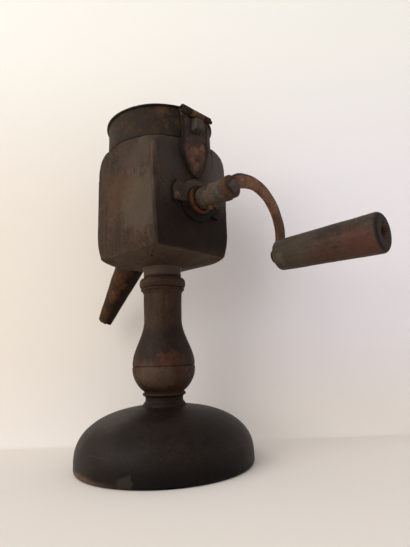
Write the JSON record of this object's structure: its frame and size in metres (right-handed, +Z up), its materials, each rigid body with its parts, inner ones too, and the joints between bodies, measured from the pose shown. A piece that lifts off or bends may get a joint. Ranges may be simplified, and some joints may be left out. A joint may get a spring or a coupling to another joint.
{
  "type": "hand-cranked spice mill",
  "caption": "Table spice mill: turned foot and baluster stem under a wooden block with an iron hopper, hinged lid, side crank with wooden grip and a slanting spout.",
  "frame": {"origin": "middle of the foot's underside, on the turned stem's axis", "axes": "+Z up; +X along the axle towards the crank; the spout is on the -X side; +Y to the side that the grip rests on"},
  "size_m": [0.1932, 0.1061, 0.2056],
  "materials": {
    "foot_wood": "dark, softly polished by handling",
    "stem_wood": "dark, worn",
    "block_wood": "dark, dry and pitted",
    "grip_wood": "handled, dull",
    "sheet_iron": "dark patina",
    "rusty_iron": "rusted",
    "worn_steel": "worn"
  },
  "bodies": {
    "frame": {"foot": "foot_wood", "stem": "stem_wood", "mill_block": "block_wood", "hopper_band": "sheet_iron", "band_rivets": "rusty_iron", "band_nails": "rusty_iron", "hinge_plate": "rusty_iron", "hinge_pin": "sheet_iron", "hinge_bolt": "worn_steel", "hinge_nut": "sheet_iron", "hinge_nail": "rusty_iron", "bearing_plate": "sheet_iron", "bearing_nails": "rusty_iron", "front_bush": "rusty_iron", "grinding_shell": "sheet_iron", "rear_bridge": "sheet_iron", "spout": "sheet_iron", "spout_nails": "rusty_iron"},
    "crank": {"axle": "sheet_iron", "rotor": "worn_steel", "rotor_pin": "worn_steel", "crank_collar": "worn_steel", "collar_pin": "rusty_iron", "crank_arm": "rusty_iron", "grip_spindle": "rusty_iron", "grip_washer": "sheet_iron"},
    "grip_body": {"grip": "grip_wood"},
    "lid_body": {"lid": "sheet_iron", "lid_strap": "rusty_iron", "lid_rivets": "rusty_iron"}
  },
  "joints": [
    {"name": "crank_turn", "type": "hinge", "parent": "frame", "child": "crank", "pos_m": [0, 0.003, 0.1494], "axis": [1, 0, 0], "continuous": true},
    {"name": "grip_spin", "type": "hinge", "parent": "crank", "child": "grip_body", "pos_m": [0.0576, 0.04409, 0.11672], "axis": [1, 0, 0], "continuous": true},
    {"name": "lid_hinge", "type": "hinge", "parent": "frame", "child": "lid_body", "pos_m": [0.0354, -0.001, 0.2014], "axis": [0, 1, 0], "range_deg": [0, 110]}
  ]
}
